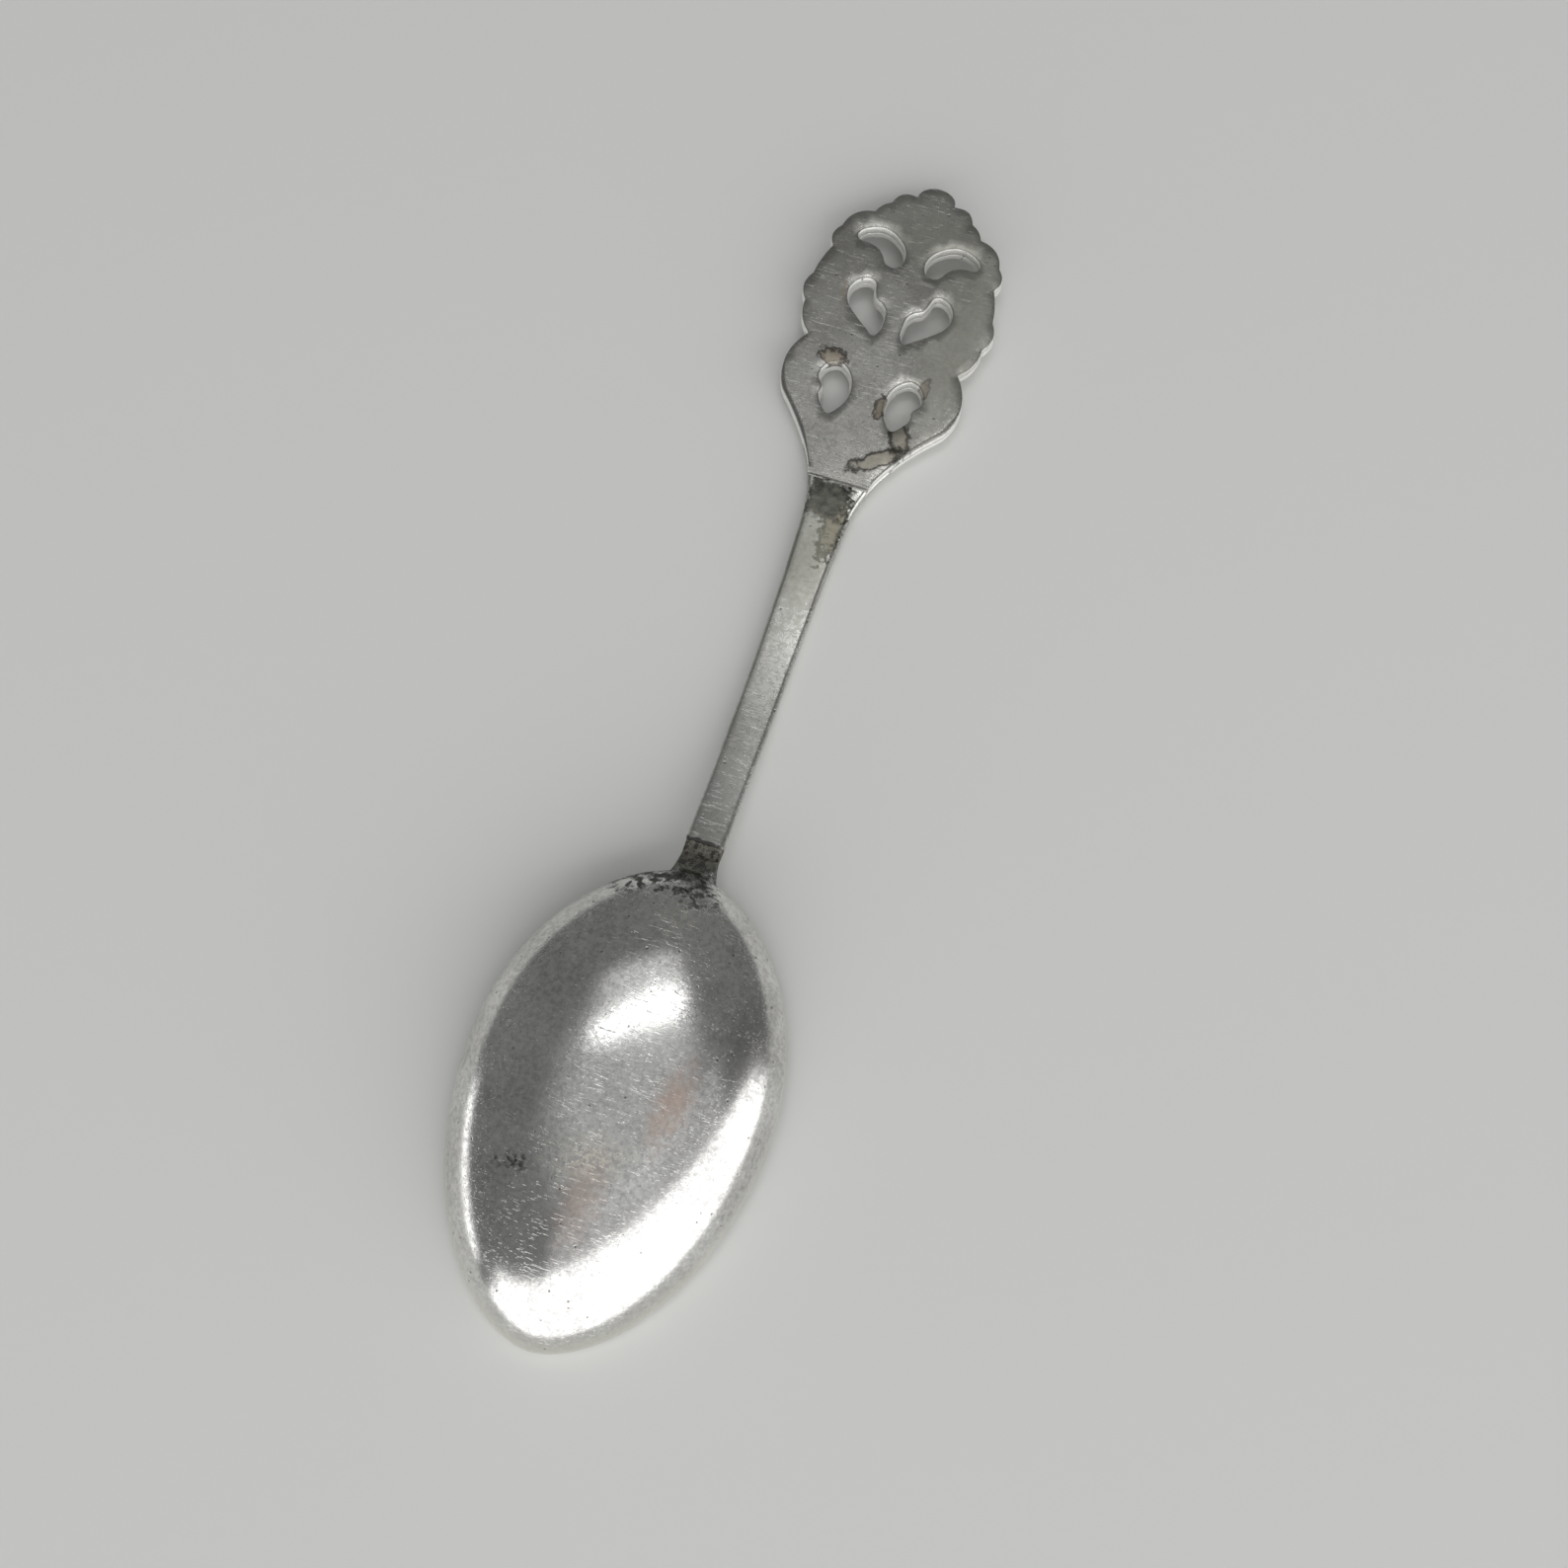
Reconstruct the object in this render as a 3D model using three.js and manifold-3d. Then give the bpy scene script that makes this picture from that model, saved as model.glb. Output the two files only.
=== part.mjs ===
// Souvenir spoon lying face down: a stamped bowl, a flat stem and a pierced two-layer finial,
// soldered together at both ends of the stem. Millimetres, +Z up.
//
// Y runs along the spoon from the bowl's tip to the finial's tip and X across it. Stations along the
// spoon are measured from the bowl's tip, and the whole spoon is centred on Y at the end. The bowl's
// tip and the stem's belly touch the surface at Z = 0. The spoon's back faces up.
import * as THREE from 'three';
import { mergeVertices } from 'three/addons/utils/BufferGeometryUtils.js';
import Module from 'manifold-3d';

const wasm = await Module();
wasm.setup();

// ---- driving dimensions ----
const LENGTH = 112.7;

const BOWL_LENGTH = 40.5;
const BOWL_WIDTH = 26.6;
const BOWL_WIDEST = 21.9; // station of the widest section
const BOWL_DEPTH = 7.2; // outside crown above the rim plane
const BOWL_SHELL = 0.9;
const RIM_LAND = 1.0; // width of the flat rim
const RIM_TILT = THREE.MathUtils.degToRad(3); // the heel sits higher than the tip
const EGG_POWER = 1.142; // above 1 draws the rim's two ends in towards points
const WALL_POWER = 2.4; // above 2 makes the wall steeper and the crown flatter
const BOWL_RINGS = 12;
const BOWL_SIDES = 56;

const STEM_START = 43.0; // square-cut end lying on the bowl's tongue
const STEM_THICKNESS = 1.5;
const NECK_SLOPE = THREE.MathUtils.degToRad(11.4);
const BELLY = 64; // station where the stem touches the surface
const STRAIGHT_START = 76; // from here the back is one flat plane
const FINIAL_TILT = THREE.MathUtils.degToRad(2.5);
const STEM_CHAMFER = 0.25;
const STEM_STEPS = 22;
const STEM_HALF_WIDTHS = [[43, 1.66], [60, 1.75], [70, 1.88], [76, 2.1]]; // [station, half width]
const STEM_FLARE_POWER = 1.6; // above 1 widens the stem mostly near the finial

const FINIAL_START = 79.8; // joint line across the stem
const LAYER = 0.74; // thickness of each finial layer
const LAP = 0.7; // the stem's thickness over the bowl's tongue
const LAP_LENGTH = 4;
const LAP_STEPS = 4;
const TONGUE_ROOT = 39.6; // the tongue starts inside the bowl's wall
const TONGUE_ROOT_HALF = 2.3;
const TONGUE_CHAMFER = 0.1;
const TONGUE_STEPS = 6;
const FINIAL_LAP_LENGTH = 3;
const SOLDER_FILM = 0.12;
const SOLDER_CHAMFER = 0.02;
const SOLDER_SIDE_GAP = 0.05; // the solder stays this far inside the stem's sides
const BEAD_LENGTH = 0.8; // solder bead in front of the stem's square end
const BEAD_DROP = 0.15; // the bead's highest point below the stem's back
const GAP = 0.015; // clearance between neighbouring pieces

const RELIEF = 0.35; // how far the ornament stands out of the front layer
const RELIEF_ROOT = 0.1; // how far the ornament reaches into the front layer
const COLLAR_OUTSET = 0.75; // raised collar round every hole
const COLLAR_INSET = 0.2;
const LEAF = { halfWidth: 0.42, halfLength: 1.9, centre: 2, root: 27.6 };
const LEAF_LEANS = [-0.9, -0.45, 0, 0.45, 0.9];
const SPINE = [[-0.75, 5], [0.75, 5], [0.35, 27], [-0.35, 27]];
const OUTLINE_STEPS = 6;
const OUTLINE_START_STEP = 0.2; // shortest first step along the outline
const FLARE_STEPS = 24;
const HOLE_STEPS = 36;
const LEAF_STEPS = 8;

const MERGE_DISTANCE = 1e-4;

// Finial outline, right half, as [distance from the joint line, distance from the centre line].
const FLARE_START = [0, 2.87];
const FLARE = [[2.4, 3.45], [5.4, 5.8], [7.4, 7.7]];
const SHOULDER = [[8.6, 8.8], [11.6, 9.5], [14.0, 7.5]];
// Scallops after the shoulder: [end of the lobe, how far it bulges past its chord].
const LOBES = [
  [[17.3, 8.9], 0.42],
  [[20.35, 9.05], 0.55],
  [[23.7, 8.18], 0.15],
  [[26.15, 8.0], 0.5],
  [[28.65, 5.4], 0.65],
  [[30.05, 4.15], 0.2],
  [[31.4, 1.95], 0.6],
];
// The last lobe crosses the centre line. Its lower corner is the spoon's end.
const TIP = (LENGTH - FINIAL_START - 2 * LAYER * Math.sin(FINIAL_TILT)) / Math.cos(FINIAL_TILT);

// Pierced holes on the right side, each a smooth closed curve; every one has a mirror image.
const HOLES = {
  kidney: [
    [6.55, 3.15], [7.3, 2.35], [8.6, 1.75], [10.1, 1.8], [11.3, 2.4], [12.0, 3.45],
    [11.75, 4.35], [10.9, 5.0], [9.95, 5.05], [9.1, 4.45], [8.2, 4.5], [7.3, 4.0],
  ],
  comma: [
    [15.6, 1.55], [16.3, 1.0], [17.4, 0.93], [18.4, 1.05], [19.05, 1.55], [19.5, 2.3], [20.3, 2.65],
    [21.1, 2.9], [21.4, 3.55], [21.0, 4.5], [20.1, 5.1], [19.1, 5.15], [18.2, 4.75], [17.1, 3.6],
    [16.1, 2.3],
  ],
  crescent: [
    [23.7, 1.15], [24.6, 1.02], [25.6, 1.4], [26.4, 2.2], [26.9, 3.1], [27.05, 4.05], [26.75, 5.1],
    [26.2, 5.9], [25.6, 6.15], [25.15, 5.8], [25.05, 4.7], [24.7, 3.75], [24.0, 3.1], [23.4, 2.75],
    [23.15, 2.1], [23.25, 1.55],
  ],
};

// ---- shared helpers ----

// Height of the spoon's back above the surface, from the neck to the finial's tip.
function backHeight(station) {
  if (station < BELLY) {
    const radius = (BELLY - STEM_START) / Math.sin(NECK_SLOPE);
    const run = BELLY - station;
    return STEM_THICKNESS + radius - Math.sqrt(radius * radius - run * run);
  }
  const curved = STRAIGHT_START - BELLY;
  const rise = Math.tan(FINIAL_TILT);
  if (station < STRAIGHT_START) {
    return STEM_THICKNESS + (rise * (station - BELLY) ** 2) / (2 * curved);
  }
  return STEM_THICKNESS + rise * (curved / 2 + station - STRAIGHT_START);
}

// Straight-line reading of a table of [station, value] pairs.
function readTable(table, station) {
  const above = table.findIndex(([s]) => s > station);
  const at = above < 0 ? table.length - 1 : Math.max(above, 1);
  const [s0, v0] = table[at - 1];
  const [s1, v1] = table[at];
  const t = THREE.MathUtils.clamp((station - s0) / (s1 - s0), 0, 1);
  return v0 + t * (v1 - v0);
}

function meshFromTriangles(points, triangles) {
  const geometry = new THREE.BufferGeometry();
  geometry.setAttribute('position', new THREE.Float32BufferAttribute(points.flat(), 3));
  geometry.setIndex(triangles.flat());
  return geometry;
}

// A bar lofted through rectangular sections with chamfered corners. Each section is
// { at, half, top, bottom }. Two sections at one station make a square step.
function bar(sections, chamfer = STEM_CHAMFER) {
  const points = sections.flatMap(({ at, half, top, bottom }) => {
    const cut = Math.min(chamfer, (top - bottom) / 3);
    const inner = half - cut;
    return [
      [half, at, bottom + cut], [half, at, top - cut], [inner, at, top], [-inner, at, top],
      [-half, at, top - cut], [-half, at, bottom + cut], [-inner, at, bottom], [inner, at, bottom],
    ];
  });
  const corners = 8;
  const end = (sections.length - 1) * corners;
  const triangles = [];
  for (let i = 0; i < sections.length - 1; i++) {
    for (let j = 0; j < corners; j++) {
      const a = i * corners + j;
      const b = i * corners + ((j + 1) % corners);
      triangles.push([a, a + corners, b + corners], [a, b + corners, b]);
    }
  }
  for (let j = 1; j < corners - 1; j++) {
    triangles.push([0, j, j + 1], [end, end + j + 1, end + j]);
  }
  return closed(meshFromTriangles(points, triangles));
}

// Merges shared vertices and drops triangles that have shrunk to a line.
function closed(geometry) {
  const bare = geometry.clone();
  bare.deleteAttribute('normal');
  bare.deleteAttribute('uv');
  const merged = mergeVertices(bare, MERGE_DISTANCE);
  const index = [];
  for (let i = 0; i < merged.index.count; i += 3) {
    const [a, b, c] = [0, 1, 2].map((k) => merged.index.getX(i + k));
    if (a !== b && b !== c && c !== a) index.push(a, b, c);
  }
  merged.setIndex(index);
  return merged;
}

function toSolid(geometry) {
  const shape = closed(geometry);
  const vertProperties = new Float32Array(shape.attributes.position.array);
  return new wasm.Manifold(new wasm.Mesh({
    numProp: 3,
    vertProperties,
    triVerts: new Uint32Array(shape.index.array),
  }));
}

function fromSolid(solid) {
  const { vertProperties, triVerts } = solid.getMesh();
  const geometry = new THREE.BufferGeometry();
  geometry.setAttribute('position', new THREE.BufferAttribute(vertProperties, 3));
  geometry.setIndex(new THREE.BufferAttribute(triVerts, 1));
  return geometry;
}

function join(...geometries) {
  return fromSolid(geometries.map(toSolid).reduce((sum, solid) => sum.add(solid)));
}

function spread(from, to, steps) {
  return Array.from({ length: steps + 1 }, (_, i) => from + ((to - from) * i) / steps);
}

function silver(color, roughness) {
  return new THREE.MeshStandardMaterial({ color, roughness, metalness: 1 });
}

function named(name, geometry, material) {
  const mesh = new THREE.Mesh(geometry, material);
  geometry.computeVertexNormals();
  mesh.name = name;
  return mesh;
}

// ---- bowl ----

// One skin of the bowl as rings from the crown to the rim, in the rim plane's own axes.
function bowlSkin(inset, depth) {
  const halfWidth = BOWL_WIDTH / 2 - inset;
  const tipLength = BOWL_WIDEST - inset;
  const heelLength = BOWL_LENGTH - BOWL_WIDEST - inset;
  const points = [[0, BOWL_WIDEST, depth]];
  for (let ring = 1; ring <= BOWL_RINGS; ring++) {
    const rise = (Math.PI / 2) * (ring / BOWL_RINGS);
    const reach = Math.sin(rise) ** (2 / WALL_POWER);
    const height = ring === BOWL_RINGS ? 0 : depth * Math.cos(rise);
    for (let side = 0; side < BOWL_SIDES; side++) {
      const turn = (2 * Math.PI * side) / BOWL_SIDES;
      const across = Math.sign(Math.sin(turn)) * Math.abs(Math.sin(turn)) ** EGG_POWER;
      const along = Math.cos(turn) * (Math.cos(turn) > 0 ? heelLength : tipLength);
      points.push([halfWidth * across * reach, BOWL_WIDEST + along * reach, height]);
    }
  }
  return points;
}

function bowlShell() {
  const outer = bowlSkin(0, BOWL_DEPTH);
  const inner = bowlSkin(RIM_LAND, BOWL_DEPTH - BOWL_SHELL);
  const offset = outer.length;
  const at = (ring, side) => 1 + (ring - 1) * BOWL_SIDES + (side % BOWL_SIDES);
  const triangles = [];
  for (let side = 0; side < BOWL_SIDES; side++) {
    triangles.push([0, at(1, side + 1), at(1, side)]);
    triangles.push([offset, offset + at(1, side), offset + at(1, side + 1)]);
    for (let ring = 1; ring < BOWL_RINGS; ring++) {
      const [a, b] = [at(ring, side), at(ring, side + 1)];
      const [c, d] = [at(ring + 1, side), at(ring + 1, side + 1)];
      triangles.push([a, b, d], [a, d, c]);
      triangles.push([offset + a, offset + d, offset + b], [offset + a, offset + c, offset + d]);
    }
    const [rim, next] = [at(BOWL_RINGS, side), at(BOWL_RINGS, side + 1)];
    triangles.push([rim, next, offset + next], [rim, offset + next, offset + rim]);
  }
  return meshFromTriangles([...outer, ...inner], triangles).rotateX(RIM_TILT);
}

// The tongue that runs out of the heel and carries the stem's lapped end.
function bowlTongue() {
  const end = STEM_START + LAP_LENGTH - GAP;
  const sections = spread(TONGUE_ROOT, end, TONGUE_STEPS).map((at) => {
    const neck = THREE.MathUtils.clamp((STEM_START - at) / (STEM_START - TONGUE_ROOT), 0, 1);
    const half = readTable(STEM_HALF_WIDTHS, at) + (TONGUE_ROOT_HALF - STEM_HALF_WIDTHS[0][1]) * neck ** 2;
    const back = backHeight(at);
    return { at, half, top: back - LAP - SOLDER_FILM, bottom: back - STEM_THICKNESS };
  });
  return bar(sections, TONGUE_CHAMFER);
}

// ---- stem ----

function finialHalfWidth(distance) {
  const curve = new THREE.CubicBezierCurve(...[FLARE_START, ...FLARE].map((p) => new THREE.Vector2(...p)));
  const points = curve.getPoints(FLARE_STEPS).map((p) => [p.x, p.y]);
  return readTable(points, distance);
}

function stemHalfWidth(station) {
  if (station <= STRAIGHT_START) return readTable(STEM_HALF_WIDTHS, station);
  const from = readTable(STEM_HALF_WIDTHS, STRAIGHT_START);
  const t = (station - STRAIGHT_START) / (FINIAL_START - STRAIGHT_START);
  if (t > 1) return finialHalfWidth(station - FINIAL_START);
  return from + (FLARE_START[1] - from) * t ** STEM_FLARE_POWER;
}

function stem() {
  const lapEnd = STEM_START + LAP_LENGTH;
  const section = (at, topDrop, bottomDrop) => ({
    at,
    half: stemHalfWidth(at),
    top: backHeight(at) - topDrop,
    bottom: backHeight(at) - bottomDrop,
  });
  const tongueEnd = FINIAL_START + FINIAL_LAP_LENGTH;
  const tongueDrop = LAYER + SOLDER_FILM;
  return bar([
    ...spread(STEM_START, lapEnd, LAP_STEPS).map((at) => section(at, 0, LAP)),
    ...spread(lapEnd, FINIAL_START, STEM_STEPS).map((at) => section(at, 0, STEM_THICKNESS)),
    ...spread(FINIAL_START, tongueEnd, LAP_STEPS).map((at) => section(at, tongueDrop, STEM_THICKNESS)),
  ]);
}

// ---- solder ----

// A film between the bowl's tongue and the stem, with a bead against the stem's square end.
function bowlSolder() {
  const beadStart = STEM_START - BEAD_LENGTH;
  const filmEnd = STEM_START + LAP_LENGTH - 2 * GAP;
  const section = (at, topDrop) => ({
    at,
    half: readTable(STEM_HALF_WIDTHS, at) - SOLDER_SIDE_GAP,
    top: backHeight(at) - topDrop,
    bottom: backHeight(at) - LAP - SOLDER_FILM + GAP,
  });
  const stemEnd = STEM_START - GAP;
  return bar([
    section(beadStart, LAP),
    section(stemEnd, BEAD_DROP),
    section(stemEnd, LAP + GAP),
    ...spread(stemEnd, filmEnd, LAP_STEPS).slice(1).map((at) => section(at, LAP + GAP)),
  ], SOLDER_CHAMFER);
}

// A seam across the back at the joint line, and a film under the back plate.
function finialSolder() {
  const seamEnd = FINIAL_START + SOLDER_FILM;
  const section = (at, topDrop) => ({
    at,
    half: stemHalfWidth(at) - SOLDER_SIDE_GAP,
    top: backHeight(at) - topDrop,
    bottom: backHeight(at) - LAYER - SOLDER_FILM + GAP,
  });
  const underPlate = LAYER + 2 * GAP;
  return bar([
    section(FINIAL_START + GAP, 0),
    section(seamEnd, 0),
    section(seamEnd, underPlate),
    section(FINIAL_START + FINIAL_LAP_LENGTH, underPlate),
  ], SOLDER_CHAMFER);
}

// ---- finial ----

// Right half of the scalloped outline from a start distance to the tip, as 2D points.
function rightOutline(start) {
  const vector = (p) => new THREE.Vector2(...p);
  const path = new THREE.Path();
  path.moveTo(...FLARE_START);
  path.bezierCurveTo(...FLARE.flat());
  path.bezierCurveTo(...SHOULDER.flat());
  let from = vector(SHOULDER[2]);
  for (const [end, bulge] of LOBES) {
    const to = vector(end);
    const chord = to.clone().sub(from);
    const outward = new THREE.Vector2(-chord.y, chord.x).normalize();
    const control = from.clone().add(to).multiplyScalar(0.5).addScaledVector(outward, 2 * bulge);
    path.quadraticCurveTo(control.x, control.y, to.x, to.y);
    from = to;
  }
  const points = path.getPoints(OUTLINE_STEPS).filter((p) => p.x > start + OUTLINE_START_STEP);
  points.unshift(new THREE.Vector2(start, finialHalfWidth(start)));
  for (const turn of spread(0, Math.PI / 2, OUTLINE_STEPS).slice(1)) {
    points.push(new THREE.Vector2(from.x + (TIP - from.x) * Math.sin(turn), from.y * Math.cos(turn)));
  }
  return points;
}

// Shapes are drawn with X across the finial and Y along it.
function finialShape(start) {
  const right = rightOutline(start).map((p) => new THREE.Vector2(p.y, p.x));
  const left = right.slice(0, -1).reverse().map((p) => new THREE.Vector2(-p.x, p.y));
  return new THREE.Shape([...right, ...left]);
}

// A hole's closed curve, moved outwards by an offset; side is 1 or -1 for its mirror image.
function holePoints(outline, side, offset = 0) {
  const corners = outline.map(([along, across]) => new THREE.Vector3(across, along, 0));
  const curve = new THREE.CatmullRomCurve3(corners, true);
  const points = spread(0, 1, HOLE_STEPS).slice(0, -1).map((t) => {
    const point = curve.getPointAt(t);
    const tangent = curve.getTangentAt(t);
    return new THREE.Vector2(side * (point.x - tangent.y * offset), point.y + tangent.x * offset);
  });
  return THREE.ShapeUtils.isClockWise(points) ? points.reverse() : points;
}

function eachHole(make) {
  return Object.values(HOLES).flatMap((outline) => [1, -1].map((side) => make(outline, side)));
}

function plate(shape, thickness, top) {
  return new THREE.ExtrudeGeometry(shape, { depth: thickness, bevelEnabled: false, curveSegments: 1 })
    .translate(0, 0, top - thickness);
}

function backPlate() {
  const shape = finialShape(SOLDER_FILM + GAP);
  shape.holes = eachHole((outline, side) => new THREE.Path(holePoints(outline, side)));
  return plate(shape, LAYER, 0);
}

// Raised lines of the front: a collar round every hole, a tapering spine and a fan of leaves at the tip.
function ornament() {
  const depth = RELIEF + RELIEF_ROOT;
  const top = RELIEF_ROOT - 2 * LAYER - GAP;
  const collars = eachHole((outline, side) => {
    const ring = new THREE.Shape(holePoints(outline, side, COLLAR_OUTSET));
    ring.holes = [new THREE.Path(holePoints(outline, side, COLLAR_INSET))];
    return plate(ring, depth, top);
  });
  const leaf = new THREE.Shape();
  leaf.absellipse(0, LEAF.centre, LEAF.halfWidth, LEAF.halfLength, 0, 2 * Math.PI);
  const outline = new THREE.Shape(leaf.getPoints(LEAF_STEPS));
  const leaves = LEAF_LEANS.map((lean) => {
    return plate(outline, depth, top).rotateZ(-lean).translate(0, LEAF.root, 0);
  });
  const spine = new THREE.Shape(SPINE.map((p) => new THREE.Vector2(...p)));
  return [...collars, ...leaves, plate(spine, depth, top)];
}

function frontRelief() {
  const shape = finialShape(FINIAL_LAP_LENGTH + GAP);
  shape.holes = eachHole((outline, side) => new THREE.Path(holePoints(outline, side)));
  return join(plate(shape, LAYER, -LAYER - GAP), ...ornament());
}

// ---- assembly ----

const cleanSilver = silver(0xb9b9b4, 0.25);
const darkSolder = silver(0x3a3834, 0.6);

const finial = new THREE.Group();
finial.position.set(0, FINIAL_START, backHeight(FINIAL_START));
finial.rotation.x = FINIAL_TILT;
finial.add(
  named('finial_back_plate', closed(backPlate()), cleanSilver.clone()),
  named('finial_front_relief', frontRelief(), silver(0xa8a7a1, 0.35)),
);

const spoon = new THREE.Group();
spoon.position.y = -LENGTH / 2;
spoon.add(
  named('bowl', join(bowlShell(), bowlTongue()), cleanSilver),
  named('stem', stem(), cleanSilver.clone()),
  named('bowl_joint_solder', bowlSolder(), darkSolder),
  named('finial_joint_solder', finialSolder(), darkSolder.clone()),
  finial,
);

export default spoon;
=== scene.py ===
"""Looks of the souvenir spoon: fine meshes and worn-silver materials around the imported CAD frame.

Shapes are worked out in millimetres. X runs across the spoon and a station is the distance along it
from the bowl's tip. placed() turns both into the frame's metres. The spoon lies face down.
"""

import math

import bpy
import numpy as np
from mathutils import Matrix, Vector
from mathutils.geometry import delaunay_2d_cdt


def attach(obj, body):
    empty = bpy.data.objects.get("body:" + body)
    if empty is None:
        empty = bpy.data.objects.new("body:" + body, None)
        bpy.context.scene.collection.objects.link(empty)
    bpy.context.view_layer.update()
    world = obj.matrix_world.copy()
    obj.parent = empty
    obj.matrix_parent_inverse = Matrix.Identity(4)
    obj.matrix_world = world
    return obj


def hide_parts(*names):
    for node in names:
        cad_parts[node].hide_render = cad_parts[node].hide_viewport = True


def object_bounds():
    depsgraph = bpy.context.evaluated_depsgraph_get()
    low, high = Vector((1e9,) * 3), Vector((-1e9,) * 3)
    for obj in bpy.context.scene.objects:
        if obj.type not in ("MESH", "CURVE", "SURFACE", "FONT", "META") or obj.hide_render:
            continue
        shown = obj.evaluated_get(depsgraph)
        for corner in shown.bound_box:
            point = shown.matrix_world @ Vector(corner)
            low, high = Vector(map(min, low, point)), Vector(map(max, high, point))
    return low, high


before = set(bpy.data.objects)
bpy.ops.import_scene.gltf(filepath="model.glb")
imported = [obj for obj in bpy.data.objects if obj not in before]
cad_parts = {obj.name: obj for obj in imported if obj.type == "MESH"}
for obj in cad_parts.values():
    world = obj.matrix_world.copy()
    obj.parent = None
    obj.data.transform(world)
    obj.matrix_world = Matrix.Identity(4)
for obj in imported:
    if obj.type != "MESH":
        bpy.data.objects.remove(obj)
CAD_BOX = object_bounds()

# ---- driving dimensions, millimetres ----
MM = 0.001
TIP_Y = CAD_BOX[0].y / MM
LENGTH = (CAD_BOX[1].y - CAD_BOX[0].y) / MM

BOWL_LENGTH = 40.5
BOWL_WIDTH = 26.6
BOWL_WIDEST = 21.9
BOWL_DEPTH = 7.2
BOWL_SHELL = 0.9
RIM_LAND = 1.0
RIM_TILT = math.radians(3)
EGG_POWER = 1.142
WALL_POWER = 2.4
RIM_EDGE = 0.28
RIM_INNER_EDGE = 0.18

STEM_START = 43.0
STEM_THICKNESS = 1.5
NECK_SLOPE = math.radians(11.4)
BELLY = 64.0
STRAIGHT_START = 76.0
FINIAL_TILT = math.radians(2.5)
STEM_HALF_WIDTHS = ((43, 1.66), (60, 1.75), (70, 1.88), (76, 2.1))

FINIAL_START = 79.8
LAYER = 0.74
LAP = 0.7
LAP_LENGTH = 4.0
FINIAL_LAP_LENGTH = 3.0
SOLDER_FILM = 0.12
GAP = 0.015
RELIEF = 0.35
HOLE_NARROWING = 0.08
HOLE_TAPER = 0.1

# The finial's outline and holes: (distance from its joint line, distance from the middle).
FLARE_START = (0, 2.87)
FLARE = ((2.4, 3.45), (5.4, 5.8), (7.4, 7.7))
SHOULDER = ((8.6, 8.8), (11.6, 9.5), (14.0, 7.5))
# Each lobe's end, and how far its edge bulges.
LOBES = (
    ((17.3, 8.9), 0.42),
    ((20.35, 9.05), 0.55),
    ((23.7, 8.18), 0.15),
    ((26.15, 8.0), 0.5),
    ((28.65, 5.4), 0.65),
    ((30.05, 4.15), 0.2),
    ((31.4, 1.95), 0.6),
)
TIP = (LENGTH - FINIAL_START - 2 * LAYER * math.sin(FINIAL_TILT)) / math.cos(FINIAL_TILT)
KIDNEY = (
    (6.55, 3.15), (7.3, 2.35), (8.6, 1.75), (10.1, 1.8), (11.3, 2.4), (12.0, 3.45),
    (11.75, 4.35), (10.9, 5.0), (9.95, 5.05), (9.1, 4.45), (8.2, 4.5), (7.3, 4.0),
)
COMMA = (
    (15.6, 1.55), (16.3, 1.0), (17.4, 0.93), (18.4, 1.05), (19.05, 1.55),
    (19.5, 2.3), (20.3, 2.65), (21.1, 2.9), (21.4, 3.55), (21.0, 4.5),
    (20.1, 5.1), (19.1, 5.15), (18.2, 4.75), (17.1, 3.6), (16.1, 2.3),
)
CRESCENT = (
    (23.7, 1.15), (24.6, 1.02), (25.6, 1.4), (26.4, 2.2),
    (26.9, 3.1), (27.05, 4.05), (26.75, 5.1), (26.2, 5.9),
    (25.6, 6.15), (25.15, 5.8), (25.05, 4.7), (24.7, 3.75),
    (24.0, 3.1), (23.4, 2.75), (23.15, 2.1), (23.25, 1.55),
)
HOLES = (KIDNEY, COMMA, CRESCENT)


# ---- shape helpers ----


def back_height(station):
    """Height of the spoon's back above the surface, from the neck to the finial's tip."""
    station = np.asarray(station, float)
    radius = (BELLY - STEM_START) / math.sin(NECK_SLOPE)
    run = np.clip(BELLY - station, 0, radius)
    neck = radius - np.sqrt(radius * radius - run * run)
    rise = math.tan(FINIAL_TILT)
    curved = STRAIGHT_START - BELLY
    past = np.clip(station - BELLY, 0, curved)
    straight = np.clip(station - STRAIGHT_START, 0, None)
    return STEM_THICKNESS + neck + rise * past**2 / (2 * curved) + rise * straight


def stem_half_width(station):
    """Half the stem's width, and past the joint line half the width of the finial's flare."""
    stations, halves = zip(*STEM_HALF_WIDTHS)
    base = np.interp(station, stations, halves)
    t = np.clip((station - STRAIGHT_START) / (FINIAL_START - STRAIGHT_START), 0, 1)
    spread = 1.6
    flared = base + (FLARE_START[1] - halves[-1]) * t**spread
    along, across = finial_flare().T
    return np.where(station > FINIAL_START, np.interp(station - FINIAL_START, along, across), flared)


def finial_flare():
    return bezier(FLARE_START, *FLARE, steps=40)


def bezier(*points, steps):
    """Points on a quadratic or cubic Bezier curve, both ends included."""
    degree = len(points) - 1
    t = np.linspace(0, 1, steps + 1)[:, None]
    terms = [math.comb(degree, i) * t**i * (1 - t) ** (degree - i) for i in range(degree + 1)]
    return sum(term * np.array(p, float) for term, p in zip(terms, points))


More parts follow.
